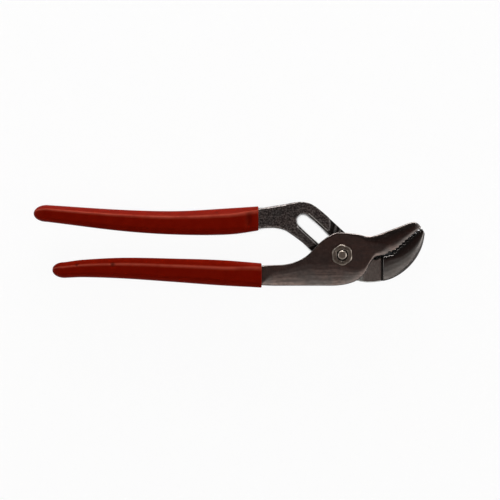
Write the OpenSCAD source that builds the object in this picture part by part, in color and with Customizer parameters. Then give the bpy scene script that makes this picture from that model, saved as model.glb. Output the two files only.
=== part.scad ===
// Slip joint pliers of the tongue-and-groove kind, lying on the back with the jaws closed.
// Lengths in mm. X runs along the tool to the jaws, Y to the upper handle, Z up to the nut.
// The origin lies on the pivot axis, on the flat face of the bolt head.
// The rear lever has the slot, the grooves, the upper handle and the lower jaw.
// The front lever has the bore, the tongue, the lower handle and the upper jaw.

/* [Levers] */
// Thickness of each lever where the two lie on each other
plate_t = 5.5; // [4.5:0.1:6.5]
// Free height between flat faces that slide on each other
play = 0.1; // [0.05:0.01:0.2]
// Radius of the front lever round the pivot, on the handle side
boss_r = 14.6; // [13.6:0.1:15.6]
// Width of the bare arms where they leave the grips
arm_w = 12.6; // [11.8:0.1:13.4]
// Thickness of the arms where they leave the grips
arm_t = 5.9; // [5.4:0.1:6.4]

/* [Slot and grooves] */
// Width of the slot
slot_w = 9; // [8.8:0.1:10.4]
// Angle of the slot to the length of the tool
slot_angle = 42.4; // [40:0.1:44]
// Steel between the slot and the edge on the jaw side
steel_outer = 7.8; // [7:0.1:8.2]
// Steel between the slot and the edge on the handle side
steel_inner = 6.3; // [5.6:0.1:7]
// Number of grooves, one for each jaw setting
groove_count = 9; // [7:1:9]
// Distance from one groove to the next
groove_pitch = 3.7; // [3.4:0.05:3.75]
// Width of a groove
groove_w = 2.5; // [2:0.1:2.8]
// Extra width of the last groove, on the handle side
runout = 1; // [0.5:0.1:1.5]
// Depth of a groove
groove_depth = 1.7; // [1.2:0.1:2.2]
// Radius of each groove about its pivot position
groove_r = 17; // [16.4:0.1:17.6]
// Free space at each side of the tongue in a groove
tongue_gap = 0.1; // [0.05:0.01:0.15]
// Angle that the tongue spans
tongue_arc = 28; // [22:1:30]
// Width of the shallow ledge at each side of the slot
ledge_w = 1; // [0.6:0.1:1.4]
// Depth of this ledge below the joint face
ledge_depth = 0.5; // [0.3:0.1:0.8]
// Free slot past the last pivot position
slot_end = 3.3; // [2.4:0.1:3.8]

/* [Jaws] */
// Length of the bite from throat to tip
bite_len = 31; // [28:0.5:33]
// Angle of the straight part of the bite
bite_angle = 41; // [39:0.5:43]
// Radius of the curve between throat and straight part
bite_r = 14; // [12:0.5:16]
// Distance from tooth to tooth
tooth_pitch = 2.6; // [2.2:0.1:3.4]
// Height of the teeth
tooth_h = 1.3; // [0.8:0.1:1.4]
// Step of the lower teeth along the bite, so that one flank of each tooth nearly meets the upper jaw
tooth_step = 0.45; // [0.2:0.05:0.5]
// Gap between the closed jaws along the bite
gap_tip = 0.8; // [0.7:0.05:1.2]
// Gap between the closed jaws in the hollow past the throat
gap_throat = 2.4; // [1.6:0.1:2.8]
// Depth of the upper jaw behind its bite, at the root
upper_jaw_root = 13.1; // [12:0.1:14]
// Depth of the upper jaw behind its bite, at the tip
upper_jaw_tip = 5.2; // [4.4:0.1:6]
// Radius of the back of the lower jaw
lower_jaw_r = 32.4; // [31:0.1:34]

/* [Pivot] */
// Diameter of the bolt head
head_d = 15; // [14:0.1:17]
// Height of the bolt head
head_h = 2.6; // [2:0.1:3.5]
// Diameter of the bolt inside the front lever
journal_d = 8; // [7.6:0.1:9]
// Radial running clearance of the bolt in bore and slot
run_gap = 0.05; // [0.03:0.01:0.09]
// Diameter of the thread
thread_d = 6.3; // [5.6:0.1:7]
// Width across the flats of the nut
nut_af = 12.2; // [11:0.1:13]
// Height of the nut
nut_h = 4.5; // [3.5:0.1:6]
// Length of the bolt end past the nut
bolt_proud = 0.7; // [0.4:0.1:1.5]

/* [Grips] */
// Length of the upper grip
upper_grip_len = 144; // [130:1:155]
// Length of the lower grip
lower_grip_len = 134; // [122:1:145]
// Distance from the pivot to the mouth of the upper grip
upper_mouth = 53; // [52:0.5:58]
// Distance from the pivot to the mouth of the lower grip
lower_mouth = 51; // [50:0.5:58]
// Greatest width of a grip
grip_w = 16.8; // [16.2:0.1:17]
// Width of a grip at its tail
grip_tail_w = 10.8; // [9.5:0.1:12.5]
// Greatest thickness of a grip
grip_t = 12.6; // [11.5:0.1:14]
// Wall of a grip
grip_wall = 1.4; // [1.1:0.1:1.8]
// Free space between grip and handle
grip_fit = 0.08; // [0.05:0.01:0.15]

/* [Hidden] */
$fn = 64;
STEEL = [0.34, 0.33, 0.32];
NICKEL = [0.72, 0.71, 0.68];
RED = [0.66, 0.13, 0.07];
corner_steps = 5;
far = 80;

// Levels: back of the levers, joint face of each lever, front of the levers, seat and top of the nut
z_back = head_h + play;
z_rear = z_back + plate_t;
z_front = z_rear + play;
z_face = z_front + plate_t;
z_seat = z_face + play;
z_nut = z_seat + nut_h;
z_mid = (z_rear + z_front) / 2;

// Slot frame: along points from the pivot to the jaws, across to the jaw side of the strip
along = [cos(slot_angle), -sin(slot_angle)];
across = [sin(slot_angle), cos(slot_angle)];
edge_out = slot_w / 2 + steel_outer;
edge_in = slot_w / 2 + steel_inner;
slot_near = 1.6;
groove_reach = 64;
slot_far = groove_pitch * (groove_count - 1) + slot_end;
function strip(u, v) = along * u + across * v;

// The front lever ends at a round rim just outside the tongue
rim_r = groove_r + groove_w / 2 + 0.65;
throat = [rim_r + 7.3, -0.55];
shoulder_x = rim_r + 7.4;
function rim(a) = rim_r * [cos(a), sin(a)];
function boss(a) = boss_r * [cos(a), sin(a)];

// Lowest edge of the front lever's arm and boss, and where the joint faces start on the two arms
belly_y = -19.6;
rear_face_x = 0.4 - upper_mouth;
front_face_x = 20 - lower_mouth;

// Stock above the joint face of the rear lever, and on each jaw for the teeth
face_stock = 0.1;
tooth_stock = tooth_h / 2 + 0.1;

// Middle line of the bite: a short straight, an arc, a long straight
bite_start = 8;
bite_flat = 1;
bite_bend = bite_r * (bite_angle - bite_start) * PI / 180;
function heading(s) = s < bite_flat ? bite_start
    : min(bite_angle, bite_start + (s - bite_flat) / bite_r * 180 / PI);
function dir(a) = [cos(a), sin(a)];
function bend(a) = bite_r * [sin(a) - sin(bite_start), cos(bite_start) - cos(a)];
function bite(s) = throat + dir(bite_start) * min(s, bite_flat) + bend(heading(s))
    + dir(bite_angle) * max(0, s - bite_flat - bite_bend);
function off_bite(s, d) = bite(s) + d * [-sin(heading(s)), cos(heading(s))];
function half_gap(s) = (gap_tip + (gap_throat - gap_tip) * max(0, 1 - abs(s / 5 - 1))) / 2;
bite_tip = bite(bite_len);

// A section has two edge points in plan, two heights and a rounding [width, height] at each edge
function section(t, b, low, high, round_t, round_b) = concat(t, b, [low, high], round_t, round_b);
function middle(s) = [s[0] + s[2], s[1] + s[3]] / 2;
function run(p, i) = i == 0 ? 0 : run(p, i - 1) + norm(p[i] - p[i - 1]);
function slope(c, k, i) = let (a = max(i - 1, 0), b = min(i + 1, len(c) - 1))
    (c[b] - c[a]) / (k[b] - k[a]);
function cubic(p, q, m, n, t) = (2 * t^3 - 3 * t^2 + 1) * p + (t^3 - 2 * t^2 + t) * m
    + (3 * t^2 - 2 * t^3) * q + (t^3 - t^2) * n;

// Smooth run of sections through the control sections c, with n steps in each span
function smooth(c, n) = let (p = [for (s = c) middle(s)], k = [for (i = [0 : len(c) - 1]) run(p, i)])
    concat([for (i = [0 : len(c) - 2]) let (h = k[i + 1] - k[i]) for (j = [0 : n - 1])
        cubic(c[i], c[i + 1], slope(c, k, i) * h, slope(c, k, i + 1) * h, j / n)], [c[len(c) - 1]]);

// Closed outline of a section. Its corners are superellipses, between an ellipse and a bevel, and are
// made narrower where they would meet
corner_power = 1.6;
function swell(c) = sign(c) * pow(abs(c), 2 / corner_power);
function ring(s) = let (b = [s[2], s[3]], v = [s[0], s[1]] - b, w = norm(v), e = v / w,
    fit = min(1, 0.95 * w / (s[6] + s[8])))
    [for (k = [0 : 3]) for (j = [0 : corner_steps])
        let (a = 90 * (k + j / corner_steps), at_t = k == 0 || k == 3,
            rx = fit * (at_t ? s[6] : s[8]), rz = at_t ? s[7] : s[9],
            p = b + e * ((at_t ? w - rx : rx) + rx * swell(cos(a))),
            z = (k < 2 ? s[5] - rz : s[4] + rz) + rz * swell(sin(a)))
        [p.x, p.y, z]];
function inset(s, d) = let (t = [s[0], s[1]], b = [s[2], s[3]], e = (t - b) / norm(t - b) * d)
    concat(t - e, b + e, [s[4] + d, s[5] - d, s[6] - d, s[7] - d, s[8] - d, s[9] - d]);
function shift_x(s, d) = s + [d, 0, d, 0, 0, 0, 0, 0, 0, 0];
function shrink(s, k) = let (m = middle(s), z = (s[4] + s[5]) / 2)
    concat(m + ([s[0], s[1]] - m) * k, m + ([s[2], s[3]] - m) * k,
        [z + (s[4] - z) * k, z + (s[5] - z) * k], k * [s[6], s[7], s[8], s[9]]);
function reversed(list) = [for (i = [len(list) - 1 : -1 : 0]) list[i]];

// Handles. Each row: share of the grip length from the mouth, height of the middle, how much of the
// change from greatest width to tail width is done there
tail_share = 0.94;
upper_bow = [[0.13, 21.55, 0], [0.36, 20.55, 0.28], [0.6, 22.05, 0.52], [tail_share, 26.6, 1]];
lower_bow = [[0.2, -11.3, 0.1], [0.42, -9.75, 0.3], [0.66, -8.4, 0.58], [0.85, -8.6, 0.93],
    [tail_share, -9.6, 1.12]];
upper_y = 23.4;
lower_y = -13;
rear_arm_z = z_rear + face_stock - arm_t / 2;
front_arm_z = z_face - arm_t / 2;
skin_t = grip_wall + grip_fit;
mouth_w = arm_w + 2 * skin_t;
mouth_t = arm_t + 2 * skin_t;
function grip_section(x, y, z, w, t, round) = section([x, y + w / 2], [x, y - w / 2], z - t / 2, z + t / 2,
    round, round);
function grip_run(mouth, length, y, z, bow) = smooth(concat(
    [grip_section(-mouth, y, z, mouth_w, mouth_t, [skin_t + 1.2, skin_t + 1])],
    [for (r = bow) let (w = grip_w + (grip_tail_w - grip_w) * r[2], t = grip_t - 1.4 * r[2])
        grip_section(-mouth - r[0] * length, r[1], z + (z_mid - z) * min(1, 4 * r[0]), w, t,
            [0.35 * w, 0.4 * t])]), 5);
upper_run = grip_run(upper_mouth, upper_grip_len, upper_y, rear_arm_z, upper_bow);
lower_run = grip_run(lower_mouth, lower_grip_len, lower_y, front_arm_z, lower_bow);

// Solid skin over a chain of rings, closed by the first and the last one
module skin(rings) {
    m = len(rings);
    n = len(rings[0]);
    points = [for (r = rings) for (p = r) p];
    sides = [for (i = [0 : m - 2]) for (j = [0 : n - 1]) let (k = (j + 1) % n)
        each [[i * n + j, i * n + n + j, i * n + n + k], [i * n + j, i * n + n + k, i * n + k]]];
    ends = [[for (j = [0 : n - 1]) j], [for (j = [n - 1 : -1 : 0]) (m - 1) * n + j]];
    polyhedron(points, concat(sides, ends), convexity = 8);
}

// Grip with a rounded lip at the mouth, a domed tail and a hollow that follows the outside
module grip(sections, length) {
    tail = sections[len(sections) - 1];
    dome = (1 - tail_share) * length;
    lip = 0.5;
    mouth = sections[0];
    outside = concat([inset(mouth, lip), shift_x(inset(mouth, 0.3 * lip), -0.35 * lip),
            shift_x(mouth, -lip)],
        [for (i = [1 : len(sections) - 1]) sections[i]],
        [for (a = [18, 36, 54, 68, 80]) shift_x(shrink(tail, cos(a)), -dome * sin(a))]);
    inside = concat([for (s = sections) inset(s, grip_wall)], [shift_x(inset(tail, grip_wall), -grip_fit)]);
    skin([for (s = concat(reversed(outside), inside)) ring(s)]);
}

// Sector of a flat ring about the origin, from angle a to angle b
module sector(inner, outer, low, high, a, b) {
    rotate([0, 0, a])
        rotate_extrude(angle = b - a)
            translate([inner, low])
                square([outer - inner, high - low]);
}

// Cutter with saw teeth along the bite, on the side given by the sign. The teeth of one jaw stand in
// the gaps of the other
module teeth(side) {
    count = floor((bite_len - 5) / tooth_pitch);
    last = bite_len - 0.6;
    first = last - count * tooth_pitch - (side < 0 ? tooth_step : 0);
    function edge(s) = off_bite(s, side * half_gap(s));
    saw = concat([for (s = [-4, -1, 0.5, 2, 3.5]) edge(s)],
        [for (i = [0 : 2 * count - 1]) let (s = first + (i + 0.5) * tooth_pitch / 2)
            off_bite(s, side * half_gap(s) + (i % 2 == 0 ? 1 : -1) * tooth_h / 2)],
        [edge(last), edge(bite_len + 4)]);
    back = [for (s = [bite_len + 4, bite_len / 2, bite_flat + bite_bend / 2, 0, -4]) off_bite(s, -side * 5)];
    translate([0, 0, -1])
        linear_extrude(height = z_nut)
            polygon(concat(saw, back));
}

// Upper handle, arm, bend, strip and lower jaw as one run of sections
function rear_sections() = let (top = z_face, arm_top = z_rear + face_stock, end = -slot_far,
    back_c = bite_tip - [lower_jaw_r - 2.3, 0.95], draft = [1.7, 1.5], under = [1.3, 1.2],
    small = [0.7, 0.7])
    smooth(concat([inset(upper_run[0], skin_t)], [
        section([9 - upper_mouth, 31.3], [9 - upper_mouth, 17.4], z_back, arm_top, draft, under),
        section([17 - upper_mouth, 32.6], [13.5 - upper_mouth, 16.9], z_back, arm_top, draft, under),
        section(strip(end - 11.6, 5.2), strip(end - 3.9, -12.4), z_back, arm_top, [1.2, 1.2], under),
        section(strip(end - 7.6, edge_out - 3.2), strip(end + 0.6, -edge_in - 0.9), z_back, arm_top,
            small, under),
        section(strip(end - 2.8, edge_out - 0.9), strip(end + 5, -edge_in - 0.4), z_back, arm_top,
            small, under),
        section(strip(end + 4.4, edge_out), strip(end + 9.4, -edge_in), z_back, arm_top, small, small),
        section(strip(-16, edge_out), strip(-16, -edge_in), z_back, top, small, small),
        section(strip(-3, edge_out), strip(-3, -edge_in), z_back, top, small, small),
        section(strip(9, edge_out), strip(9, -edge_in), z_back, top, small, small),
        section(strip(17.4, edge_out), [6, -15.4], z_back, top, small, [1.6, 1.6]),
        section([throat.x - 2.4, throat.y - 1.5], [16.4, -17.5], z_back, top, [1.6, 1.6], [2.4, 2]),
        section(off_bite(1.2, tooth_stock - half_gap(1.2)), back_c + lower_jaw_r * dir(-77) - [0, 1],
            z_back, top, [3, 1.2], [11, 2.4])],
        [for (k = [0 : 6]) let (f = k / 6, s = 7.5 + (bite_len - 7.5) * f, narrow = 1 - f)
            section(off_bite(s, tooth_stock - half_gap(s)),
                back_c + lower_jaw_r * dir(-64 + 59 * f) - [0, 0.8 * narrow^3],
                z_back + 0.3 * f, top - 0.3 * f, [1.8 + 2 * narrow + 14 * f * narrow, 1.3],
                [1.6 + 9.6 * narrow, 2.4 + 0.6 * narrow])]), 3);

// Lower handle, arm, boss and upper jaw as one run of sections
function front_sections() = let (low = z_back, arm_low = z_front - 0.55, edge = [0.4, 0.4],
    brow = [0.9, 0.6], crown = [14, 1.8])
    smooth(concat([inset(lower_run[0], skin_t)], [
        section([7 - lower_mouth, -6.45], [7 - lower_mouth, belly_y], arm_low, z_face, edge, [8, 1.6]),
        section([15 - lower_mouth, -6.05], [15 - lower_mouth, belly_y], arm_low, z_face, edge, [10, 1.7]),
        section([-29, -4.2], [-27, belly_y], arm_low, z_face, edge, [12, 1.8]),
        section([-23, -1.1], [-19, belly_y], arm_low - 1, z_face, edge, crown),
        section([-18.4, 3], [-12, belly_y], low + 2, z_face, edge, crown),
        section([-14.3, 7.4], [-6, belly_y], low, z_face, edge, crown),
        section(boss(127), [-1, -19.3], low, z_face, brow, crown),
        section(boss(102), [4, -18.4], low, z_face, brow, [11, 1.7]),
        section(boss(74), rim(-60), low, z_face, brow, [7, 1.5]),
        section([11, 13.1], rim(-38), low, z_face, [1.8, 0.7], [3.4, 1.1]),
        section([15.5, 12], rim(-18.5), low, z_face, [3, 0.9], [2, 1]),
        section([19, 11.9], [rim_r + 2.5, throat.y - 0.95], low, z_face, [4.5, 1.1], [2.4, 1.1]),
        section([23, 12.9], [throat.x - 1.1, throat.y - 0.4], low, z_face, [6, 1.3], [3.4, 1.3])],
        [for (k = [0 : 4]) let (f = k / 4, s = 4.5 + (bite_len - 6) * f, back = 12 + (bite_len - 15) * f,
            depth = upper_jaw_root + (upper_jaw_tip + 1.9 - upper_jaw_root) * f)
            section(off_bite(back, depth), off_bite(s, half_gap(s) - tooth_stock),
                low + 0.3 * f, z_face - 0.3 * f, [8.2 - 3.4 * f, 1.6 - 0.3 * f], [5 - 3.1 * f, 1.5])],
        [section(off_bite(bite_len - 0.7, upper_jaw_tip + 0.4),
            off_bite(bite_len - 0.6, half_gap(bite_len) - tooth_stock),
            low + 0.5, z_face - 0.5, [1.9, 1], [1.6, 1.3]),
        section(off_bite(bite_len + 0.2, upper_jaw_tip - 1.8),
            off_bite(bite_len, half_gap(bite_len) - tooth_stock),
            low + 0.8, z_face - 0.8, [1.3, 1.3], [1.2, 1.4])]), 3);

// Handle inside the grip, from its tail to the mouth
function handle(sections) = reversed([for (i = [1 : len(sections) - 1]) inset(sections[i], skin_t)]);

// Rear lever: slot and grooves cut in the joint face, which stops at a shoulder below the jaw, with a
// relief groove at its foot
module rear_lever() {
    relief = 0.7;
    color(STEEL)
        difference() {
            skin([for (s = concat(handle(upper_run), rear_sections())) ring(s)]);
            translate([rear_face_x, -far, z_rear])
                cube([shoulder_x - rear_face_x, 2 * far, far]);
            translate([shoulder_x - relief, -far, z_rear - relief])
                cube([relief + 0.15, 2 * far, relief + 0.4]);
            rotate([0, 0, -slot_angle])
                slot();
            for (i = [0 : groove_count - 1])
                translate(strip(-groove_pitch * i, 0))
                    sector(groove_r - groove_w / 2 - (i == groove_count - 1 ? runout : 0),
                        groove_r + groove_w / 2, z_rear - groove_depth, z_rear + 1,
                        -slot_angle - groove_reach, -slot_angle + groove_reach);
            teeth(-1);
        }
}

// Cutter for the slot with a ledge along each straight side
module slot() {
    length = slot_far + slot_near;
    ledge = slot_w + 2 * ledge_w;
    for (x = [-slot_far, slot_near])
        translate([x, 0, 0])
            cylinder(d = slot_w, h = z_nut);
    translate([-slot_far, -slot_w / 2, 0])
        cube([length, slot_w, z_nut]);
    translate([-slot_far, -ledge / 2, z_rear - ledge_depth])
        cube([length, ledge, z_nut]);
}

// Front lever: flat joint face with the tongue under it, full thickness only at the upper jaw
module front_lever() {
    jaw_x = 17.6;
    clear = edge_out + 0.4;
    function on_line(x) = [x, (clear - across.x * x) / across.y];
    color(STEEL)
        difference() {
            union() {
                difference() {
                    skin([for (s = concat(handle(lower_run), front_sections())) ring(s)]);
                    translate([0, 0, z_front - far])
                        linear_extrude(height = far)
                            polygon([[front_face_x, -far], on_line(far), on_line(jaw_x), [jaw_x, far],
                                [front_face_x, far]]);
                }
                sector(groove_r - groove_w / 2 + tongue_gap, groove_r + groove_w / 2 - tongue_gap,
                    z_rear - groove_depth + 0.15, z_front + 1, -slot_angle - 2,
                    -slot_angle - 2 + tongue_arc);
            }
            translate([0, 0, z_rear - 1])
                cylinder(d = journal_d + 2 * run_gap, h = plate_t + 3);
            teeth(1);
        }
}

// Bolt: flat round head, square neck in the slot, round journal in the front lever, thread in the nut
module pivot_bolt() {
    neck = slot_w - 2 * run_gap;
    round = 3;
    side = neck - 2 * round;
    neck_top = z_rear - 0.3;
    rim_cut = 0.5;
    bolt_end = z_nut + bolt_proud;
    end_r = thread_d / 2 - 0.35;
    color(NICKEL) {
        rotate_extrude()
            polygon([[0, 0], [head_d / 2 - rim_cut, 0], [head_d / 2, rim_cut], [head_d / 2, head_h],
                [0, head_h]]);
        rotate([0, 0, -slot_angle])
            translate([0, 0, head_h - 0.5])
                linear_extrude(height = neck_top - head_h + 0.5) {
                    square([neck, side], center = true);
                    square([side, neck], center = true);
                    for (x = [-1, 1], y = [-1, 1])
                        translate([x, y] * side / 2)
                            circle(r = round);
                }
        rotate_extrude()
            polygon([[0, head_h - 0.5], [journal_d / 2, head_h - 0.5], [journal_d / 2, z_seat],
                [thread_d / 2, z_seat], [thread_d / 2, z_nut - 1], [end_r, z_nut - 1],
                [end_r, bolt_end - 0.4], [end_r - 0.6, bolt_end], [0, bolt_end]]);
    }
}

// Hexagon nut with trimmed corners, chamfered on top, with a counterbore round the bolt end and three
// punch marks that lock it to the thread
module pivot_nut() {
    corner = nut_af / cos(30) / 2;
    trimmed = nut_af / 2 + 0.5;
    color(NICKEL)
        difference() {
            intersection() {
                translate([0, 0, z_seat])
                    rotate([0, 0, 95])
                        cylinder(r = corner, h = nut_h, $fn = 6);
                translate([0, 0, z_seat])
                    rotate_extrude()
                        polygon([[0, 0], [trimmed, 0], [trimmed, nut_h - 0.4], [nut_af / 2 - 0.2, nut_h],
                            [0, nut_h]]);
            }
            translate([0, 0, z_seat - 1])
                cylinder(d = thread_d + 2 * run_gap, h = nut_h + 2);
            translate([0, 0, z_nut - 0.9])
                cylinder(d = thread_d + 1, h = 1);
            for (a = [30, 150, 270])
                rotate([0, 0, a])
                    translate([thread_d / 2 + 0.9, 0, z_nut + 0.2])
                        sphere(r = 0.8, $fn = 24);
        }
}

module upper_grip() {
    color(RED)
        grip(upper_run, upper_grip_len);
}

module lower_grip() {
    color(RED)
        grip(lower_run, lower_grip_len);
}

rear_lever();
front_lever();
pivot_bolt();
pivot_nut();
upper_grip();
lower_grip();
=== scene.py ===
import math

import bpy
import numpy as np
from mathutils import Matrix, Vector


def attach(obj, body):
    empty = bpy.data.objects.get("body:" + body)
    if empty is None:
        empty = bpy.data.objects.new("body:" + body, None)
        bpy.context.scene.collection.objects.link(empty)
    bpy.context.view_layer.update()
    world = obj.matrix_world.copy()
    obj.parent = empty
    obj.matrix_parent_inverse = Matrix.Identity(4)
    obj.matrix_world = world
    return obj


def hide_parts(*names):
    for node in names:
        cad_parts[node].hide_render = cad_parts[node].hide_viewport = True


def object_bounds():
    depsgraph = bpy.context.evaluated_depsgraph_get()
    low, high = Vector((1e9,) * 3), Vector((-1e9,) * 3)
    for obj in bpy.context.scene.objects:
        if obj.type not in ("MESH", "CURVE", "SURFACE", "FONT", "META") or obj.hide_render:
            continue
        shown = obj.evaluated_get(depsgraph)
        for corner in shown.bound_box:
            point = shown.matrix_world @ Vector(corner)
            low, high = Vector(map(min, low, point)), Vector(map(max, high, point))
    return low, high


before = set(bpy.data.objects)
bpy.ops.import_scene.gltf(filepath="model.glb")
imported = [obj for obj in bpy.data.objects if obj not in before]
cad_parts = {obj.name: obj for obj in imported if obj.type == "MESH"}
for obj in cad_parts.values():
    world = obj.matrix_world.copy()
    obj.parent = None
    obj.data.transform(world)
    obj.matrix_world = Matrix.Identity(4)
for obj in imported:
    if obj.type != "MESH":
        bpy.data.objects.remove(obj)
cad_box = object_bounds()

# All lengths are in metres, so sizes are written as millimetres times MM
MM = 0.001

# The photograph shows 319 mm of width round this point, straight from above
VIEW_CENTRE = Vector((-58.4, 3.2, 11.5)) * MM
VIEW_WIDTH = 319 * MM
LENS = 100
SENSOR = 36

# Shares of the step to the neighbours by which a mesh is smoothed and then swelled
SMOOTH = 0.5
SWELL = 0.51

# Fine meshes: size of the grid, passes of evening out, and reach and passes of the search for edges
LEVER_MESH = (0.38 * MM, 9, 0.3 * MM, 4)
PIVOT_MESH = (0.18 * MM, 3, 0.15 * MM, 6)


# Mesh helpers

def new_object(name, points, faces):
    """A mesh object made of points and faces, shaded smooth."""
    mesh = bpy.data.meshes.new(name)
    mesh.from_pydata([tuple(p) for p in points], [], faces)
    mesh.validate()
    mesh.shade_smooth()
    made = bpy.data.objects.new(name, mesh)
    bpy.context.scene.collection.objects.link(made)
    return made


def points_of(mesh):
    flat = np.empty(len(mesh.vertices) * 3)
    mesh.vertices.foreach_get("co", flat)
    return flat.reshape(-1, 3)


def normals_of(mesh):
    flat = np.empty(len(mesh.vertices) * 3)
    mesh.vertex_normals.foreach_get("vector", flat)
    return flat.reshape(-1, 3)


def set_points(mesh, points):
    mesh.vertices.foreach_set("co", points.ravel())
    mesh.update()


def edges_of(mesh):
    flat = np.empty(len(mesh.edges) * 2, int)
    mesh.edges.foreach_get("vertices", flat)
    return flat.reshape(-1, 2)


def store(mesh, name, values):
    """Keeps one value for each point as a named attribute, for the materials."""
    kept = mesh.attributes.new(name, "FLOAT", "POINT")
    kept.data.foreach_set("value", values.astype(np.float32).ravel())


def step_to_neighbours(points, edges):
    """For each point, the step to the mean of its neighbours."""
    count = np.bincount(edges.ravel(), minlength=len(points))
    total = np.empty_like(points)
    for axis in range(points.shape[1]):
        there = np.concatenate([points[edges[:, 1], axis], points[edges[:, 0], axis]])
        total[:, axis] = np.bincount(np.concatenate([edges[:, 0], edges[:, 1]]), there, len(points))
    return total / np.maximum(count, 1)[:, None] - points


def even_out(mesh, passes):
    """Takes facets off a mesh without shrinking it: each pass smooths it and swells it a little more."""
    points, edges = points_of(mesh), edges_of(mesh)
    for _ in range(passes):
        points = points + SMOOTH * step_to_neighbours(points, edges)
        points = points - SWELL * step_to_neighbours(points, edges)
    set_points(mesh, points)


def mark_edges(mesh, reach, passes):
    """Stores how far each point stands out of its surroundings as a named attribute, from -1 to 1, for worn
    edges and for painted shade in hollows.
    """
    start, edges = points_of(mesh), edges_of(mesh)
    points = start
    for _ in range(passes):
        points = points + SMOOTH * step_to_neighbours(points, edges)
    stands_out = np.einsum("ij,ij->i", start - points, normals_of(mesh)) / reach
    store(mesh, "convexity", np.clip(stands_out, -1, 1))


def fine_copy(node, name, grid_size):
    """The solid of a CAD node as an even, fine mesh that lies on the surface of the solid."""
    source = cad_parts[node]
    copy = bpy.data.objects.new(name + "_source", source.data.copy())
    bpy.context.scene.collection.objects.link(copy)
    grid = copy.modifiers.new("grid", "REMESH")
    grid.mode = "VOXEL"
    grid.voxel_size = grid_size
    grid.use_smooth_shade = True
    seat = copy.modifiers.new("seat", "SHRINKWRAP")
    seat.target = source
    bpy.context.view_layer.update()
    mesh = bpy.data.meshes.new_from_object(copy.evaluated_get(bpy.context.evaluated_depsgraph_get()))
    bpy.data.objects.remove(copy)
    mesh.name = name
    mesh.materials.clear()
    made = bpy.data.objects.new(name, mesh)
    bpy.context.scene.collection.objects.link(made)
    return made


def metal_piece(node, name, material, grid_size, passes, edge_reach, edge_passes):
    """A CAD node as a fine mesh with softly broken edges, marked for edge wear and for painted shade in
    hollows, and given its material.
    """
    made = fine_copy(node, name, grid_size)
    even_out(made.data, passes)
    mark_edges(made.data, edge_reach, edge_passes)
    made.data.materials.append(material)
    return made


# Material helpers

class Nodes:
    """Short calls for building the node tree of a new material or world."""

    def __init__(self, owner):
        self.owner = owner
        self.owner.use_nodes = True
        self.tree = self.owner.node_tree
        self.shader = self.tree.nodes.get("Principled BSDF")

    def add(self, kind, settings=None, **inputs):
        """A new node. Inputs go by name, with _ for a space, or by number after a _."""
        made = self.tree.nodes.new(kind)
        for key, value in (settings or {}).items():
            setattr(made, key, value)
        for key, value in inputs.items():
            self.put(made.inputs[int(key[1:]) if key[1:].isdigit() else key.replace("_", " ")], value)
        return made

    def put(self, socket, value):
        """Links an output to a socket, or sets the socket to a constant."""
        if isinstance(value, bpy.types.NodeSocket):
            self.tree.links.new(value, socket)
        else:
            socket.default_value = value

    def set(self, **inputs):
        """Inputs of the material's own shader."""
        for key, value in inputs.items():
            self.put(self.shader.inputs[key.replace("_", " ")], value)

    def place(self, stretch=(1, 1, 1)):
        """Position on the piece in metres, stretched along its axes."""
        there = self.add("ShaderNodeTexCoord").outputs["Object"]
        return self.add("ShaderNodeMapping", Vector=there, Scale=stretch).outputs["Vector"]

    def level(self):
        """Height of the surface normal: 1 on a face that looks up, 0 on an upright one."""
        return self.axis(self.add("ShaderNodeTexCoord").outputs["Normal"], "Z")

    def noise(self, size, detail=3, rough=0.5, stretch=(1, 1, 1)):
        """Noise from 0 to 1 with features of about the given size in metres."""
        made = self.add("ShaderNodeTexNoise", Vector=self.place(stretch), Scale=1 / size, Detail=detail,
                        Roughness=rough)
        return made.outputs["Fac"]

    def math(self, operation, a, b=0.0):
        return self.add("ShaderNodeMath", {"operation": operation}, _0=a, _1=b).outputs[0]

    def ramp(self, value, low, high, to_low=0.0, to_high=1.0):
        """Smooth step of a value between two bounds, from one level to another."""
        made = self.add("ShaderNodeMapRange", {"interpolation_type": "SMOOTHSTEP"}, Value=value,
                        From_Min=low, From_Max=high, To_Min=to_low, To_Max=to_high)
        return made.outputs["Result"]

    def mix(self, share, a, b):
        """Colour a, with the given share of colour b."""
        made = self.add("ShaderNodeMix", {"data_type": "RGBA"}, _0=share, _6=a, _7=b)
        return made.outputs[2]

    def axis(self, vector, name):
        return self.add("ShaderNodeSeparateXYZ", Vector=vector).outputs[name]

    def measure(self, operation, *vectors):
        """One number worked out from vectors."""
        inputs = {"_%d" % i: vector for i, vector in enumerate(vectors)}
        return self.add("ShaderNodeVectorMath", {"operation": operation}, **inputs).outputs["Value"]

    def times(self, first, *others):
        for other in others:
            first = self.math("MULTIPLY", first, other)
        return first

    def within(self, value, low, high, soft):
        """One between two bounds, fading to zero outside over the given width."""
        return self.times(self.ramp(value, low - soft, low), self.ramp(value, high, high + soft, 1, 0))

    def attribute(self, name):
        return self.add("ShaderNodeAttribute", {"attribute_name": name}).outputs["Fac"]

    def bump(self, height, distance, under=None):
        """Normal of a surface with the given relief, on top of another relief if there is one."""
        made = self.add("ShaderNodeBump", Height=height, Distance=distance)
        if under is not None:
            self.put(made.inputs["Normal"], under)
        return made.outputs["Normal"]


# Slot of the rear lever: its direction in degrees, and where the painted highlight line beside it lies,
# measured from the middle of the slot and along it
SLOT_ANGLE = 42.4
LEDGE_LINE = (5.5 * MM, 5.85 * MM)
LEDGE_RUN = (-33 * MM, 2 * MM)

# Height of the joint face, and heights between which the floors of its grooves lie
JOINT_FACE = 8.2 * MM
GROOVE_HEIGHTS = (3 * MM, JOINT_FACE - 0.3 * MM)

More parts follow.
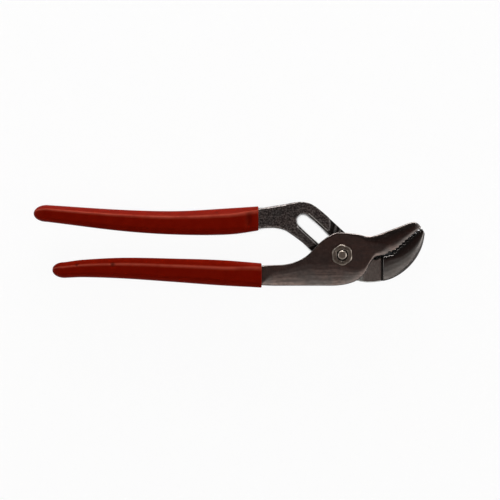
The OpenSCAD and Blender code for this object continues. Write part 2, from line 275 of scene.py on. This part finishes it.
# Places along the tool: where the slotted strip starts, where the lower jaw turns from matt to ground, the
# shoulder of that jaw with its step face and the relief at its foot, and the tip of the upper jaw
STRIP_START = -26 * MM
JAW_START = (12 * MM, 16 * MM)
SHOULDER = 26.3 * MM
STEP_RUN = (8 * MM, SHOULDER - 0.7 * MM)
FOOT_RUN = (SHOULDER - 0.75 * MM, SHOULDER + 0.05 * MM)
JAW_TIP = (43 * MM, 48.5 * MM)

# Marks of the steel's finish: their size, the depth or the direction of some, and the roughness of the
# dark sides and of the jaw's dull tip
LINE_SIZE = 0.8 * MM
LINE_DEPTH = 0.006 * MM
LINES_ALONG = (0.05, 1, 1)
STROKE_SIZE = 0.9 * MM
STROKES_UPRIGHT = (1, 1, 0.05)
GRAIN_SIZE = 1.05 * MM
GRAIN_DEPTH = 0.03 * MM
RUB_SIZE = 1.5 * MM
MOTTLE_SIZE = 2.2 * MM
MATT_STAIN_SIZE = 8 * MM
GROUND_STAIN_SIZE = 12 * MM
SIDE_ROUGH = 0.48
TIP_ROUGH = 0.37

# Colours of the steel
GROUND_LINE = (0.08, 0.068, 0.063, 1)
GROUND_MOTTLE = (0.12, 0.102, 0.095, 1)
# the dark side colour is painted shade on steep faces, with cross-ground strokes over it
SIDE_DARK = (0.03, 0.027, 0.025, 1)
SIDE_STROKE = (0.11, 0.1, 0.093, 1)
# dirt with painted shade, for hollows, grooves and the foot of the shoulder
STEEL_DIRT_AND_SHADE = (0.012, 0.01, 0.009, 1)
BARE_EDGE = (0.38, 0.365, 0.35, 1)
SATIN_WARM = (0.305, 0.23, 0.206, 1)
SATIN_COOL = (0.246, 0.218, 0.206, 1)
DULL_TIP = (0.3, 0.3, 0.29, 1)
LOWER_JAW_WARM = (0.18, 0.165, 0.156, 1)
LOWER_JAW_COOL = (0.162, 0.156, 0.15, 1)
MATT_WARM = (0.175, 0.142, 0.135, 1)
MATT_COOL = (0.155, 0.142, 0.14, 1)
MATT_PIT = (0.045, 0.038, 0.036, 1)
MATT_PEAK = (0.36, 0.325, 0.305, 1)
STEP_FACE = (0.63, 0.645, 0.615, 1)
# painted highlight of the slot's bevelled edges
LEDGE_HIGHLIGHT = (0.72, 0.7, 0.67, 1)


# Steel of the levers

def steel(name, warm, cool):
    """Node tree with the parts that both lever steels share: edge wear, dirt and painted shade in hollows,
    and the ground finish.
    """
    n = Nodes(bpy.data.materials.new(name))
    convexity = n.attribute("convexity")
    n.edge = n.times(n.ramp(convexity, 0.4, 0.85), n.ramp(n.noise(RUB_SIZE, 2), 0.3, 0.7, 0.2, 0.7))
    # dirt and painted shade in hollows, where the surface sinks below its surroundings
    n.hollow = n.ramp(n.math("MULTIPLY", convexity, -1), 0.2, 0.7, 0, 0.8)
    n.lines = n.noise(LINE_SIZE, 3, 0.7, LINES_ALONG)
    stain = n.ramp(n.noise(GROUND_STAIN_SIZE, 4, 0.6), 0.35, 0.65)
    mottle = n.ramp(n.noise(MOTTLE_SIZE, 4, 0.7), 0.42, 0.62, 0, 0.48)
    n.ground = n.mix(stain, warm, cool)
    n.ground = n.mix(n.ramp(n.lines, 0.4, 0.64, 0, 0.42), n.ground, GROUND_LINE)
    n.ground = n.mix(mottle, n.ground, GROUND_MOTTLE)
    n.ground_rough = n.ramp(n.lines, 0.3, 0.7, 0.2, 0.27)
    return n


def finish_steel(n, tone, rough, dirt_and_shade, sides):
    """Lays cross-ground sides darkened with painted shade, dirt with painted shade in hollows and grooves,
    and rubbed edges over the tone of a lever.
    """
    # painted shade: steep faces are darkened by how far they turn from looking up
    side = n.times(n.ramp(n.math("ABSOLUTE", n.level()), 0.55, 0.9, 1, 0), sides)
    strokes = n.ramp(n.noise(STROKE_SIZE, 2, 0.6, STROKES_UPRIGHT), 0.4, 0.65, 0, 0.45)
    tone = n.mix(side, tone, n.mix(strokes, SIDE_DARK, SIDE_STROKE))
    # dirt and painted shade in hollows, grooves and at the foot of the shoulder
    tone = n.mix(n.math("MAXIMUM", n.hollow, dirt_and_shade), tone, STEEL_DIRT_AND_SHADE)
    bare = n.times(n.edge, n.ramp(side, 0, 1, 1, 0.25))
    n.set(Base_Color=n.mix(bare, tone, BARE_EDGE), Metallic=1.0)
    n.set(Roughness=n.math("MAXIMUM", rough, n.times(side, SIDE_ROUGH)))
    return n.owner


def satin_steel():
    """Front lever: ground all over, with fine lines along the tool and the tip of the jaw rubbed dull."""
    n = steel("satin_steel", SATIN_WARM, SATIN_COOL)
    tip = n.ramp(n.axis(n.place(), "X"), *JAW_TIP)
    tone = n.mix(n.times(tip, 0.4), n.ground, DULL_TIP)
    rough = n.math("MAXIMUM", n.ground_rough, n.times(tip, TIP_ROUGH))
    n.set(Normal=n.bump(n.lines, LINE_DEPTH))
    return finish_steel(n, tone, rough, 0.0, 1.0)


def matt_tone(n, grain):
    """Blasted finish: stained, with dark pits and light peaks."""
    stain = n.ramp(n.noise(MATT_STAIN_SIZE, 4, 0.6), 0.35, 0.65)
    matt = n.mix(stain, MATT_WARM, MATT_COOL)
    matt = n.mix(n.ramp(grain, 0.38, 0.55, 0.9, 0), matt, MATT_PIT)
    return n.mix(n.ramp(grain, 0.5, 0.66, 0, 0.7), matt, MATT_PEAK)


def ledge_highlight(n, there, up, grain):
    """Share of painted highlight on the line along both sides of the slot, where its bevelled edges would
    catch the light.
    """
    by_slot = n.add("ShaderNodeMapping", Vector=there, Rotation=(0, 0, math.radians(SLOT_ANGLE))).outputs[0]
    line = n.within(n.math("ABSOLUTE", n.axis(by_slot, "Y")), *LEDGE_LINE, soft=0.12 * MM)
    run = n.within(n.axis(by_slot, "X"), *LEDGE_RUN, soft=0.5 * MM)
    return n.times(line, up, run, n.ramp(grain, 0.35, 0.6, 0.5, 1))


def joint_dirt_and_shade(n, x, z, up):
    """Dirt and painted shade in the grooves, and painted shade in the relief at the foot of the jaw's
    shoulder.
    """
    below_face = n.within(z, *GROOVE_HEIGHTS, soft=0.1 * MM)
    groove = n.times(below_face, up, n.within(x, STRIP_START, SHOULDER, soft=1 * MM))
    # painted shade along the foot of the shoulder
    foot = n.within(x, *FOOT_RUN, soft=0.1 * MM)
    return n.math("MAXIMUM", n.times(groove, 0.75), foot)


def blasted_steel():
    """Rear lever: a matt grain on arm and strip, ground on the jaw, the step face below the jaw rubbed
    clean, dirt and painted shade in the grooves, painted shade at the foot of the shoulder, and a painted
    highlight along the slot."""
    n = steel("blasted_steel", LOWER_JAW_WARM, LOWER_JAW_COOL)
    there = n.place()
    x, z = n.axis(there, "X"), n.axis(there, "Z")
    up = n.ramp(n.level(), 0.8, 0.95)
    grain = n.noise(GRAIN_SIZE, 3, 0.65)
    jaw = n.ramp(x, *JAW_START)
    step = n.within(x, *STEP_RUN, soft=0.3 * MM)

    tone = n.mix(jaw, matt_tone(n, grain), n.ground)
    tone = n.mix(n.times(step, n.ramp(grain, 0.34, 0.62, 0.6, 1)), tone, STEP_FACE)
    # painted highlight along both sides of the slot
    tone = n.mix(ledge_highlight(n, there, up, grain), tone, LEDGE_HIGHLIGHT)
    n.edge = n.times(n.edge, n.ramp(x, STRIP_START - 1 * MM, STRIP_START, 1, 0.4))

    rough = n.math("ADD", n.times(n.ground_rough, n.ramp(jaw, 0, 1, 0.5, 1)), n.ramp(jaw, 0, 1, 0.26, 0))
    coarse = n.bump(n.times(grain, n.ramp(jaw, 0, 1, 1, 0)), GRAIN_DEPTH)
    n.set(Normal=n.bump(n.lines, LINE_DEPTH, coarse))
    return finish_steel(n, tone, rough, joint_dirt_and_shade(n, x, z, up), n.ramp(jaw, 0, 1, 0.9, 1))


# Plating of the pivot: heights just below the nut's top, radii of the bolt's end and of the nut's
# counterbore, its marks, and colours
NUT_TOP = 18.4 * MM
BELOW_NUT_TOP = (NUT_TOP - 0.5 * MM, NUT_TOP - 0.2 * MM)
BOLT_END = (2.6 * MM, 2.8 * MM)
COUNTERBORE = (2.8 * MM, 3.6 * MM)
SCRATCH_SIZE = 0.35 * MM
SCRATCH_DEPTH = 0.008 * MM
SCRATCHES_ACROSS = (1, 0.25, 1)
TARNISH_SIZE = 2.5 * MM
PLATE_CLEAN = (0.315, 0.273, 0.232, 1)
PLATE_TARNISHED = (0.24, 0.206, 0.173, 1)
PLATE_BOLT_END = (0.42, 0.365, 0.31, 1)
# dirt with painted shade, for hollows and the counterbore
PLATE_DIRT_AND_SHADE = (0.012, 0.01, 0.008, 1)


def nickel():
    """Dull, warm nickel plating with tarnish and small scratches, brighter on the bolt's end, with dirt and
    painted shade in hollows and in the nut's counterbore."""
    n = Nodes(bpy.data.materials.new("nickel"))
    height = n.axis(n.place(), "Z")
    from_axis = n.measure("LENGTH", n.place((1, 1, 0)))
    scratch = n.noise(SCRATCH_SIZE, 3, 0.7, SCRATCHES_ACROSS)
    tarnish = n.ramp(n.noise(TARNISH_SIZE, 3), 0.35, 0.7)
    plate = n.mix(tarnish, PLATE_CLEAN, PLATE_TARNISHED)
    plate = n.mix(n.ramp(from_axis, *BOLT_END, 0.8, 0), plate, PLATE_BOLT_END)

    hollow = n.ramp(n.math("MULTIPLY", n.attribute("convexity"), -1), 0.15, 0.6)
    below_top = n.ramp(height, *BELOW_NUT_TOP, 1, 0)
    pit = n.times(below_top, n.within(from_axis, *COUNTERBORE, soft=0.1 * MM))
    # dirt and painted shade in hollows and in the counterbore ring round the bolt's end
    dirt_and_shade = n.times(n.math("MAXIMUM", hollow, pit), 0.9)
    n.set(Base_Color=n.mix(dirt_and_shade, plate, PLATE_DIRT_AND_SHADE), Metallic=1.0)
    n.set(Roughness=n.ramp(scratch, 0.3, 0.7, 0.26, 0.38))
    n.set(Normal=n.bump(scratch, SCRATCH_DEPTH))
    return n.owner


# Vinyl of the grips: sizes of its marks, depths and direction of its relief, and colours
CLOUD_SIZE = 5 * MM
SKIN_SIZE = 0.9 * MM
SKIN_DEPTH = 0.03 * MM
SAG_SIZE = 9 * MM
SAG_DEPTH = 0.12 * MM
SAG_ALONG = (0.4, 1, 1)
DENT_DARK_SIZE = 1.2 * MM
RIDGE_HIGHLIGHT_SIZE = 14 * MM
VINYL_DEEP = (0.146, 0.0038, 0.0005, 1)
VINYL_PALE = (0.17, 0.005, 0.0009, 1)
# painted highlight along the upper far ridge of the grips
VINYL_RIDGE_HIGHLIGHT = (0.36, 0.054, 0.032, 1)
# dirt with painted shade, for the dents and nicks of the grips
VINYL_DIRT_AND_SHADE = (0.02, 0.003, 0.002, 1)
VINYL_GLOSS = (1, 0.3, 0.12, 1)


def red_vinyl():
    """Dipped vinyl: deep red and dull, with a painted highlight along the ridge, a fine skin, a slight sag,
    and dirt and painted shade in the dents and nicks."""
    n = Nodes(bpy.data.materials.new("red_vinyl"))
    cloud = n.ramp(n.noise(CLOUD_SIZE, 5, 0.7), 0.3, 0.7)
    skin = n.noise(SKIN_SIZE, 3, 0.6)
    sag = n.noise(SAG_SIZE, 2, 0.4, SAG_ALONG)
    # dirt and painted shade in the dents and nicks
    dirt_and_dent_shade = n.times(n.attribute("dirt_and_dent_shade"), n.ramp(n.noise(DENT_DARK_SIZE, 3), 0.3, 0.6, 0.7, 1))
    # painted highlight along the ridge, varying in strength along the grip
    ridge_highlight = n.times(n.attribute("ridge_highlight"), n.ramp(n.noise(RIDGE_HIGHLIGHT_SIZE, 3, 0.6), 0.3, 0.6, 0.55, 1))
    red = n.mix(cloud, VINYL_DEEP, VINYL_PALE)
    red = n.mix(ridge_highlight, red, VINYL_RIDGE_HIGHLIGHT)
    n.set(Base_Color=n.mix(dirt_and_dent_shade, red, VINYL_DIRT_AND_SHADE))
    n.set(Roughness=n.ramp(skin, 0.3, 0.7, 0.38, 0.48))
    n.set(Specular_IOR_Level=0.03, Specular_Tint=VINYL_GLOSS)
    n.set(Normal=n.bump(skin, SKIN_DEPTH, n.bump(sag, SAG_DEPTH)))
    return n.owner


# Grips: wall, rolled lip and its depth, distance between stations, and which of them the inside uses
GRIP_WALL = 1.4 * MM
LIP = 0.6 * MM
LIP_DEPTH = 0.5 * MM
STATION = 0.5 * MM
INNER_STEP = 4

# Reading the CAD's grips: length of their lip, spread of the points of one ring, and slack at the tail
CAD_LIP = 0.4 * MM
SAME_PLACE = 0.002 * MM
TAIL_SLACK = 0.01 * MM

# Share of a grip's length at which its domed tail starts, and the angle in degrees at which the dome of the
# CAD's tail ends
TAIL_SHARE = 0.94
CAD_DOME_END = 80

# Angles in degrees of the rings on the rolled lip and on the domed tail
LIP_TURNS = (0, 30, 60)
DOME_TURNS = (8, 16, 24, 32, 40, 48, 56, 64, 71, 77, 82, 86, 89)

# Section of a grip: points on a corner, pieces of the flats between corners, and the shape of the corners.
# A corner has the power of its curve and the half widths of the flats across and in height
CORNER_POINTS = 13
FLAT_PIECES = (8, 4, 8, 4)
MOUTH_CORNER = (1.6, 0.65, 0.44)
BODY_CORNER = (1.7, 0.5, 0.3)
UPPER_BROW = (1.25, 0.5, 0.2)
LOWER_BROW = (1.4, 0.4, 0.72)

# Length from the mouth over which the corners take on their full shape
UPPER_EASE = 19 * MM
LOWER_EASE = 27 * MM

# Points of a section at the ridge along its upper far side, and how strong the painted highlight is there
RIDGE_POINTS = slice(10, 14)
RIDGE_HIGHLIGHT = (0.45, 0.9, 1.0, 0.45)

# Dents and nicks: place in plan, reach along and across, depth, and how dark their dirt and painted shade is
UPPER_DENTS = ((-59.2 * MM, 22.0 * MM, 1.6 * MM, 4.6 * MM, 0.7 * MM, 0.5),
               (-62.6 * MM, 22.0 * MM, 1.6 * MM, 6.0 * MM, -0.25 * MM, 0.0),
               (-79.7 * MM, 27.2 * MM, 0.7 * MM, 0.6 * MM, 0.3 * MM, 0.8))
LOWER_DENTS = ((-145.9 * MM, -6.4 * MM, 1.5 * MM, 1.2 * MM, 0.45 * MM, 0.7),
               (-168.8 * MM, -6.4 * MM, 1.1 * MM, 0.9 * MM, 0.35 * MM, 0.65))


def grip_outline(node):
    """Stations along a grip of the CAD, from its mouth to the end of its tail. A station has the place along
    the tool, the middle across and in height, and half the size across and in height."""
    points = points_of(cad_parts[node].data)
    rows = []
    for x in np.unique(np.round(points[:, 0], 6))[::-1]:
        ring = points[np.abs(points[:, 0] - x) < SAME_PLACE]
        low, high = ring.min(0), ring.max(0)
        middle, half = (low + high) / 2, (high - low) / 2
        rows.append([x, middle[1], middle[2], half[1], half[2]])
    return np.array(rows)


def spread(rows, x):
    """Rows of a table read at other places along its first column, on a smooth curve."""
    known = rows[np.argsort(rows[:, 0])]
    slope = np.gradient(known, known[:, 0], axis=0)
    i = np.clip(np.searchsorted(known[:, 0], x) - 1, 0, len(known) - 2)
    h = (known[i + 1, 0] - known[i, 0])[:, None]
    t = (x - known[i, 0])[:, None] / h
    return ((2 * t**3 - 3 * t**2 + 1) * known[i] + (t**3 - 2 * t**2 + t) * h * slope[i]
            + (3 * t**2 - 2 * t**3) * known[i + 1] + (t**3 - t**2) * h * slope[i + 1])


def grip_corner(power, flat_across, flat_up):
    """Quarter of a grip's unit section: two flats joined by a bevel with soft ridges."""
    turn = np.radians(np.linspace(0, 90, CORNER_POINTS))
    across = flat_across + (1 - flat_across) * np.cos(turn) ** (2 / power)
    up = flat_up + (1 - flat_up) * np.sin(turn) ** (2 / power)
    return np.stack([across, up], 1)


def grip_section(brow, corner):
    """Unit section of a grip with a corner of its own, the brow, above on the far side of the tool."""
    back = corner[::-1]
    corners = [brow, back * [-1, 1], -corner, back * [1, -1]]
    points = []
    for here, there, pieces in zip(corners, corners[1:] + corners[:1], FLAT_PIECES):
        share = np.linspace(0, 1, pieces + 1)[1:-1, None]
        points += [here, here[-1] + share * (there[0] - here[-1])]
    return np.concatenate(points)


def loft(name, rings):
    """Closed skin over rings of equally many points."""
    n = len(rings[0])
    faces = []
    for i in range(len(rings) - 1):
        for j in range(n):
            k = (j + 1) % n
            faces.append((i * n + j, (i + 1) * n + j, (i + 1) * n + k, i * n + k))
    faces.append(tuple(range(n)))
    faces.append(tuple((len(rings) - 1) * n + j for j in range(n))[::-1])
    return new_object(name, np.concatenate(rings), faces)


def build_grip(node, name, ease, brow):
    """Dipped sleeve round a handle, with a rolled mouth and a domed tail, hollow inside. Its corners go from
    small ones at the mouth to wide bevels over the length ease, and brow shapes its upper far corner."""
    rows = grip_outline(node)
    mouth, end = rows[0, 0], rows[-1, 0]
    dome_share = (1 - TAIL_SHARE) * math.sin(math.radians(CAD_DOME_END))
    tail = mouth - (mouth - end) * TAIL_SHARE / (TAIL_SHARE + dome_share)
    body = rows[(rows[:, 0] < mouth - CAD_LIP) & (rows[:, 0] > tail - TAIL_SLACK)]
    run = spread(body, np.linspace(body[0, 0], body[-1, 0], int((mouth - tail) / STATION)))
    tail = run[-1, 0]
    at_mouth = grip_corner(*MOUTH_CORNER)
    mouth_section = grip_section(at_mouth, at_mouth)
    body_section = grip_section(grip_corner(*brow), grip_corner(*BODY_CORNER))

    def ring(row, inset=0.0, scale=1.0, x=None):
        t = min((mouth - row[0]) / ease, 1.0)
        share = t * t * (3 - 2 * t)
        section = (1 - share) * mouth_section + share * body_section
        y = row[1] + section[:, 0] * (row[3] * scale - inset)
        z = row[2] + section[:, 1] * (row[4] * scale - inset)
        return np.stack([np.full(len(section), row[0] if x is None else x), y, z], 1)

    inner = [ring(row, GRIP_WALL) for row in run[::-INNER_STEP]]
    inner.append(ring(run[0], GRIP_WALL, 1.0, mouth))
    rolled = [ring(run[0], LIP * (1 - math.sin(a)), 1.0, mouth - LIP_DEPTH * (1 - math.cos(a)))
              for a in np.radians(LIP_TURNS)]
    outer = [ring(row) for row in run]
    dome = [ring(run[-1], 0.0, math.cos(a), tail - (tail - end) * math.sin(a))
            for a in np.radians(DOME_TURNS)]
    made = loft(name, inner + rolled + outer + dome)

    # painted highlight: share of the paler colour on the ridge points of each ring
    highlight_share = np.zeros((len(made.data.vertices) // len(body_section), len(body_section)))
    highlight_share[:, RIDGE_POINTS] = RIDGE_HIGHLIGHT
    store(made.data, "ridge_highlight", highlight_share)
    return made


def press_in(mesh, x, y, reach_x, reach_y, depth, dirt_and_dent_shade):
    """Dents the upper side of a grip round a place in plan. Returns the dirt and painted shade of the dent
    there.
    """
    points, normals = points_of(mesh), normals_of(mesh)
    fade = np.exp(-((points[:, 0] - x) / reach_x) ** 2 - (np.abs(points[:, 1] - y) / reach_y) ** 4)
    fade *= np.clip(normals[:, 2], 0, 1)
    points[:, 2] -= depth * fade
    set_points(mesh, points)
    return dirt_and_dent_shade * fade


# Pieces of the tool

def levers():
    parts = (("rear_lever", "rear_lever_forging", "rear_half", blasted_steel(), "blasted_steel"),
             ("front_lever", "front_lever_forging", "front_half", satin_steel(), "satin_steel"))
    for node, name, body, material, slot in parts:
        made = metal_piece(node, name, material, *LEVER_MESH)
        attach(made, body)
        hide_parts(node)


def grips():
    vinyl = red_vinyl()
    upper = build_grip("upper_grip", "upper_grip_vinyl", UPPER_EASE, UPPER_BROW)
    lower = build_grip("lower_grip", "lower_grip_vinyl", LOWER_EASE, LOWER_BROW)
    for made, node, body, dents in ((upper, "upper_grip", "rear_half", UPPER_DENTS),
                                    (lower, "lower_grip", "front_half", LOWER_DENTS)):
        # dirt and painted shade gathered from the dents and nicks
        store(made.data, "dirt_and_dent_shade", sum(press_in(made.data, *dent) for dent in dents))
        made.data.materials.append(vinyl)
        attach(made, body)
        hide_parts(node)


def pivot():
    plating = nickel()
    for node, name in (("pivot_bolt", "pivot_bolt_plated"), ("pivot_nut", "pivot_nut_plated")):
        made = metal_piece(node, name, plating, *PIVOT_MESH)
        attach(made, "pivot")
        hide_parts(node)


# Studio: floor and wall, in metres, with the floor just below the tool
FLOOR_GAP = 0.1 * MM
WALL_RADIUS = 1.6
WALL_HEIGHT = 1.0
COVE = 0.3
COVE_TURNS = (0, 15, 30, 45, 60, 75, 90)
TURNS = 96

# Two looks round each place on the floor tell the open floor from the tool's narrow gaps, which get painted
# shade:
# how far they reach, how many rays each has, and how much of the floor's shade the shown white takes up
NEAR_REACH = 4 * MM
WIDE_REACH = 12 * MM
LOOKS = 24
SHOWN_SHARE = 0.94

# Light of the room: direction in plan from which it comes, colours of the ceiling and of the bright side
LIGHT_FROM = (0.3, -0.95, 0)
CEILING = (0.02, 0.0165, 0.0155, 1)
CEILING_MIDDLE = (0.06, 0.028, 0.0225, 1)
BRIGHT_SIDE = (1.1, 1.065, 1.03, 1)


def shown_white():
    """Pale paint that the camera and reflections see as white in the open, with painted shade that makes it
    dark in the narrow gaps of the tool, where its colour is darkened too. A share of its real shade stays,
    so that shadows show."""
    n = Nodes(bpy.data.materials.new("floor_paint"))
    path = n.add("ShaderNodeLightPath")
    seen = n.math("MAXIMUM", path.outputs["Is Camera Ray"], path.outputs["Is Glossy Ray"])
    seen = n.math("MAXIMUM", seen, path.outputs["Is Transmission Ray"])
    near = n.add("ShaderNodeAmbientOcclusion", {"samples": LOOKS}, Distance=NEAR_REACH).outputs["AO"]
    wide = n.add("ShaderNodeAmbientOcclusion", {"samples": LOOKS}, Distance=WIDE_REACH).outputs["AO"]
    beside = n.math("MAXIMUM", n.ramp(near, 0.74, 0.84), n.ramp(wide, 0.42, 0.5))
    # painted shade: the shown white and the floor's colour go dark in the tool's narrow gaps
    open_sky = n.times(beside, n.ramp(wide, 0.17, 0.3))
    n.set(Base_Color=n.ramp(open_sky, 0, 1, 0.12, 0.9), Roughness=0.9, Specular_IOR_Level=0.0)
    glow = n.add("ShaderNodeEmission", Color=(1, 1, 1, 1), Strength=open_sky)
    both = n.add("ShaderNodeMixShader", _0=n.times(seen, SHOWN_SHARE), _1=n.shader.outputs[0],
                 _2=glow.outputs[0])
    n.tree.links.new(both.outputs[0], n.tree.nodes["Material Output"].inputs["Surface"])
    return n.owner


def wall_paint():
    n = Nodes(bpy.data.materials.new("wall_paint"))
    n.set(Base_Color=(0.6, 0.6, 0.6, 1), Roughness=0.9, Specular_IOR_Level=0.0)
    return n.owner


def turned(name, profile, material):
    """Surface of revolution round the middle of the view, on the floor. One ring alone is filled."""
    points = [(r * math.cos(t), r * math.sin(t), z) for r, z in profile
              for t in np.linspace(0, 2 * math.pi, TURNS, endpoint=False)]
    faces = []
    for i in range(len(profile) - 1):
        for j in range(TURNS):
            k = (j + 1) % TURNS
            faces.append((i * TURNS + j, i * TURNS + k, (i + 1) * TURNS + k, (i + 1) * TURNS + j))
    made = new_object(name, points, faces or [tuple(range(TURNS))])
    made.location = (VIEW_CENTRE.x, VIEW_CENTRE.y, cad_box[0].z - FLOOR_GAP)
    made.data.materials.append(material)


def floor_and_wall():
    """Round pale floor with a low wall, joined by a cove."""
    edge = WALL_RADIUS - COVE
    bend = [(edge + COVE * math.sin(a), COVE - COVE * math.cos(a)) for a in np.radians(COVE_TURNS)]
    turned("floor", [(edge, 0)], shown_white())
    turned("wall", bend + [(WALL_RADIUS, WALL_HEIGHT)], wall_paint())


def panel(name, place, size, radiance):
    """Flat soft light aimed at the tool, given by how bright its surface looks."""
    data = bpy.data.lights.new(name, "AREA")
    data.shape = "RECTANGLE"
    data.size, data.size_y = size
    data.energy = radiance * math.pi * size[0] * size[1]
    made = bpy.data.objects.new(name, data)
    bpy.context.scene.collection.objects.link(made)
    made.location = VIEW_CENTRE + Vector(place)
    made.rotation_euler = (-Vector(place)).to_track_quat("-Z", "Y").to_euler()
    made.visible_camera = False


def room():
    """Soft light from the lower side of the picture that fades out past straight above, under a dark
    ceiling that is warmer in its middle."""
    n = Nodes(bpy.data.worlds.new("room"))
    sky = n.add("ShaderNodeTexCoord").outputs["Generated"]
    towards = n.measure("DOT_PRODUCT", sky, LIGHT_FROM)
    ceiling = n.mix(n.ramp(n.axis(sky, "Z"), 0.93, 0.99), CEILING, CEILING_MIDDLE)
    shade = n.mix(n.ramp(towards, -0.05, 0.85), ceiling, BRIGHT_SIDE)
    background = n.tree.nodes["Background"]
    n.put(background.inputs["Color"], shade)
    n.put(background.inputs["Strength"], 1.0)
    return n.owner


def lights():
    """A low key light behind the tool, a weak panel at each end, and the room."""
    panel("key", place=(0.0, 1.3, 0.16), size=(1.3, 0.24), radiance=25.0)
    panel("left", place=(-1.1, 0.0, 0.8), size=(0.9, 0.9), radiance=1.4)
    panel("right", place=(1.2, 0.0, 0.6), size=(0.9, 0.9), radiance=2.4)
    bpy.context.scene.world = room()


def camera():
    """Camera straight above the middle of the view, far enough to show its width."""
    data = bpy.data.cameras.new("camera")
    data.lens = LENS
    data.sensor_width = SENSOR
    made = bpy.data.objects.new("camera", data)
    bpy.context.scene.collection.objects.link(made)
    made.location = VIEW_CENTRE + Vector((0, 0, VIEW_WIDTH * LENS / SENSOR))
    bpy.context.scene.camera = made


camera()
floor_and_wall()
lights()
levers()
grips()
pivot()
bpy.context.scene.view_settings.view_transform = "Standard"
